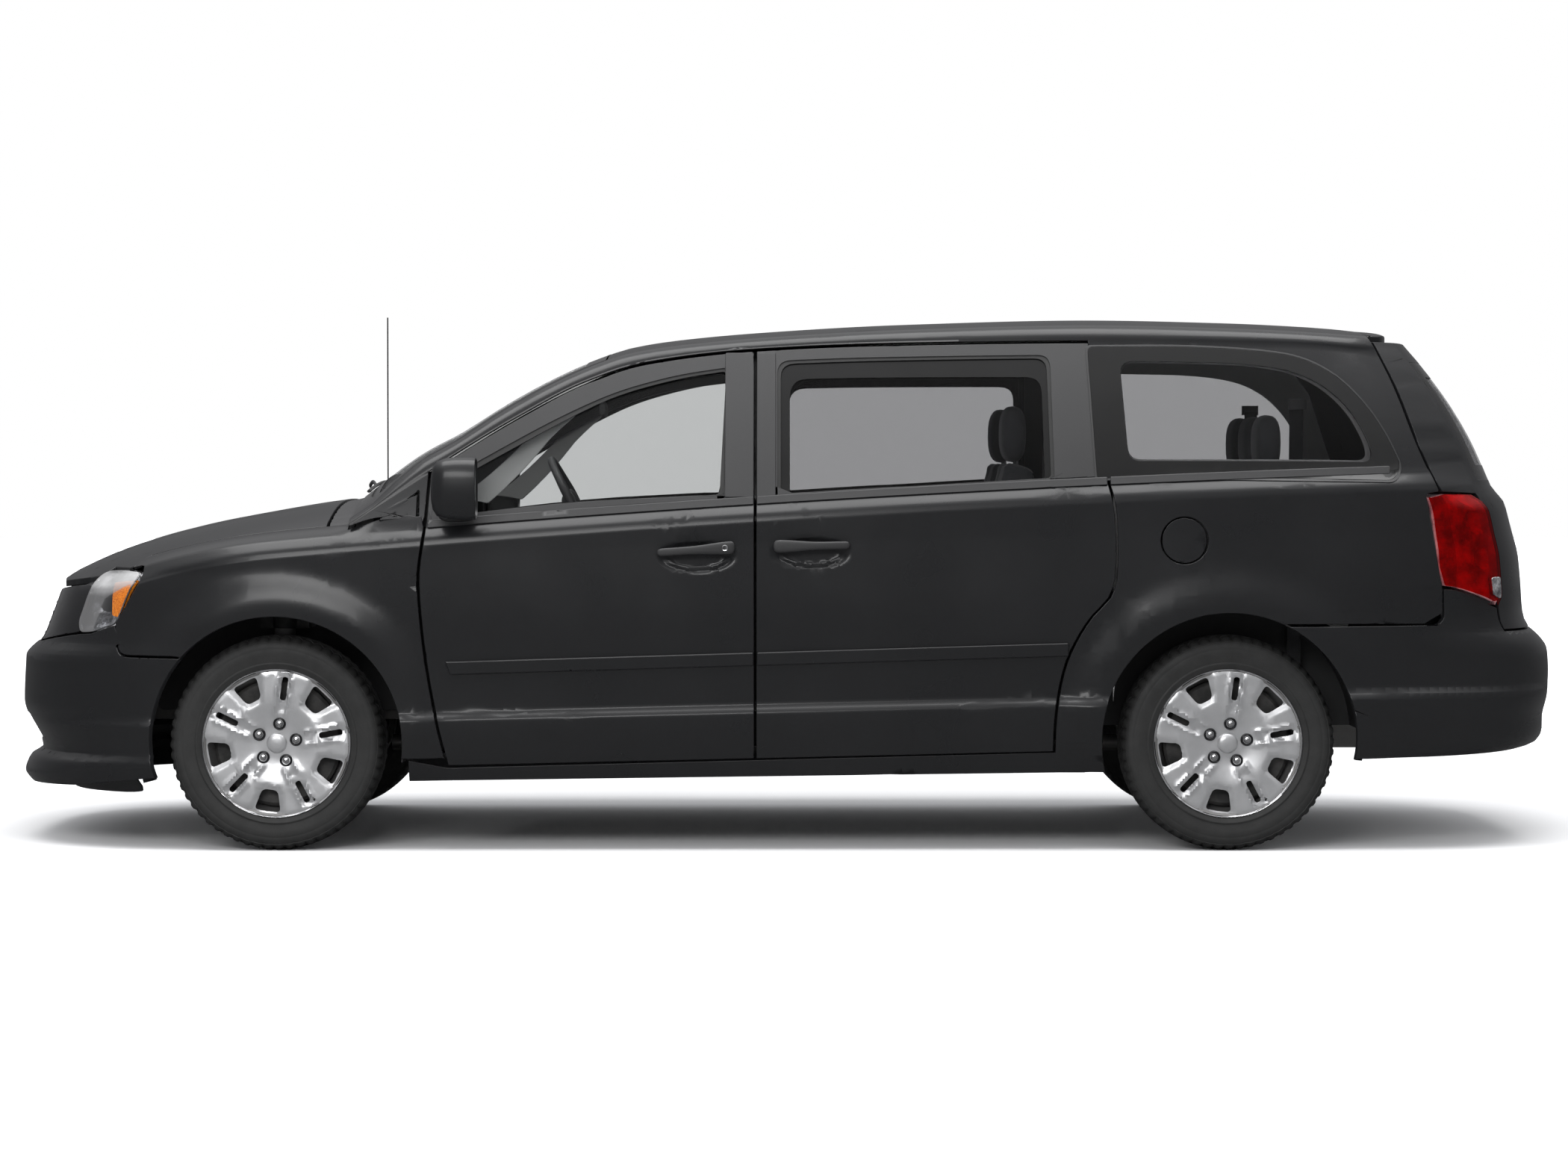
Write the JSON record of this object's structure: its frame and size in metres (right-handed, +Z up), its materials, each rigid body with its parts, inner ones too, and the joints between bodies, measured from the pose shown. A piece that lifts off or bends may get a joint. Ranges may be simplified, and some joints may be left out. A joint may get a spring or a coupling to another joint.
{
  "type": "minivan",
  "caption": "Full-size minivan with opening front doors, hood, tailgate and fuel flap, steered front wheels and a hollow cabin with seats.",
  "frame": {"origin": "on the ground below the middle of the body", "axes": "+X from nose to tail, +Y to the right-hand side, +Z up"},
  "size_m": [5.152, 2.2488, 1.79],
  "materials": {
    "paint": "gloss black with a fine metallic flake",
    "tyre": "moulded rubber",
    "wheel_cover": "satin silver",
    "clear_glass": "clear",
    "tinted_glass": "dark tint",
    "headlamp": "clear lens",
    "tail_lamp": "red lens",
    "black_plastic": "grained",
    "underbody": "dull",
    "cast_metal": "rough",
    "interior_plastic": "soft grain",
    "seat_fabric": "woven"
  },
  "bodies": {
    "root": {"floor_pan": "underbody", "engine_block": "cast_metal", "front_crossmember": "underbody", "rear_axle": "underbody", "body_sides": "paint", "roof_panel": "paint", "windshield": "clear_glass", "cowl_panel": "black_plastic", "front_fenders": "paint", "front_bumper": "paint", "grille": "black_plastic", "headlamps": "headlamp", "side_glass": "tinted_glass", "sliding_doors": "paint", "rear_bumper": "paint", "tail_lamps": "tail_lamp", "dashboard": "interior_plastic", "front_seats": "seat_fabric", "rear_seats": "seat_fabric", "fuel_tank": "black_plastic", "exhaust": "underbody", "antenna": "black_plastic", "wheel_liners": "black_plastic"},
    "steering_wheel": {"steering_wheel": "interior_plastic"},
    "hood": {"hood": "paint"},
    "front_door_left": {"front_door_left": "paint", "door_glass_left": "clear_glass", "mirror_left": "paint"},
    "front_door_right": {"front_door_right": "paint", "door_glass_right": "clear_glass", "mirror_right": "paint"},
    "tailgate": {"tailgate": "paint", "tailgate_glass": "tinted_glass"},
    "fuel_flap": {"fuel_flap": "paint"},
    "knuckle_left": {"knuckle_left": "cast_metal"},
    "knuckle_right": {"knuckle_right": "cast_metal"},
    "wheel_front_left": {"wheel_front_left": "wheel_cover", "tyre_front_left": "tyre"},
    "wheel_front_right": {"wheel_front_right": "wheel_cover", "tyre_front_right": "tyre"},
    "wheel_rear_left": {"wheel_rear_left": "wheel_cover", "tyre_rear_left": "tyre"},
    "wheel_rear_right": {"wheel_rear_right": "wheel_cover", "tyre_rear_right": "tyre"}
  },
  "joints": [
    {"name": "steer_left", "type": "hinge", "parent": "root", "child": "knuckle_left", "pos_m": [-1.642, -0.676, 0.348], "axis": [0, 0, 1], "range_deg": [-34, 34]},
    {"name": "steer_right", "type": "hinge", "parent": "root", "child": "knuckle_right", "pos_m": [-1.642, 0.676, 0.348], "axis": [0, 0, 1], "range_deg": [-34, 34]},
    {"name": "steering_wheel_turn", "type": "hinge", "parent": "root", "child": "steering_wheel", "pos_m": [-0.699, -0.37, 1.11], "axis": [0.8829, 0, 0.4695], "range_deg": [-544, 544]},
    {"name": "roll_front_left", "type": "hinge", "parent": "knuckle_left", "child": "wheel_front_left", "pos_m": [-1.642, -0.825, 0.348], "axis": [0, 1, 0], "continuous": true},
    {"name": "roll_front_right", "type": "hinge", "parent": "knuckle_right", "child": "wheel_front_right", "pos_m": [-1.642, 0.825, 0.348], "axis": [0, 1, 0], "continuous": true},
    {"name": "roll_rear_left", "type": "hinge", "parent": "root", "child": "wheel_rear_left", "pos_m": [1.436, -0.825, 0.348], "axis": [0, 1, 0], "continuous": true},
    {"name": "roll_rear_right", "type": "hinge", "parent": "root", "child": "wheel_rear_right", "pos_m": [1.436, 0.825, 0.348], "axis": [0, 1, 0], "continuous": true},
    {"name": "front_door_left_swing", "type": "hinge", "parent": "root", "child": "front_door_left", "pos_m": [-1.087, -0.961, 0.7], "axis": [0, 0, -1], "range_deg": [0, 66]},
    {"name": "front_door_right_swing", "type": "hinge", "parent": "root", "child": "front_door_right", "pos_m": [-1.087, 0.961, 0.7], "axis": [0, 0, 1], "range_deg": [0, 66]},
    {"name": "hood_lift", "type": "hinge", "parent": "root", "child": "hood", "pos_m": [-1.484, 0, 1.135], "axis": [0, 1, 0], "range_deg": [0, 52]},
    {"name": "tailgate_lift", "type": "hinge", "parent": "root", "child": "tailgate", "pos_m": [1.91, 0, 1.703], "axis": [0, -1, 0], "range_deg": [0, 84]},
    {"name": "fuel_flap_swing", "type": "hinge", "parent": "root", "child": "fuel_flap", "pos_m": [1.219, -0.9728, 1.005], "axis": [0, 0, -1], "range_deg": [0, 85]}
  ],
  "couplings": [
    {"joint": "steer_right", "follows": "steer_left", "ratio": 1},
    {"joint": "steering_wheel_turn", "follows": "steer_left", "ratio": 16}
  ]
}
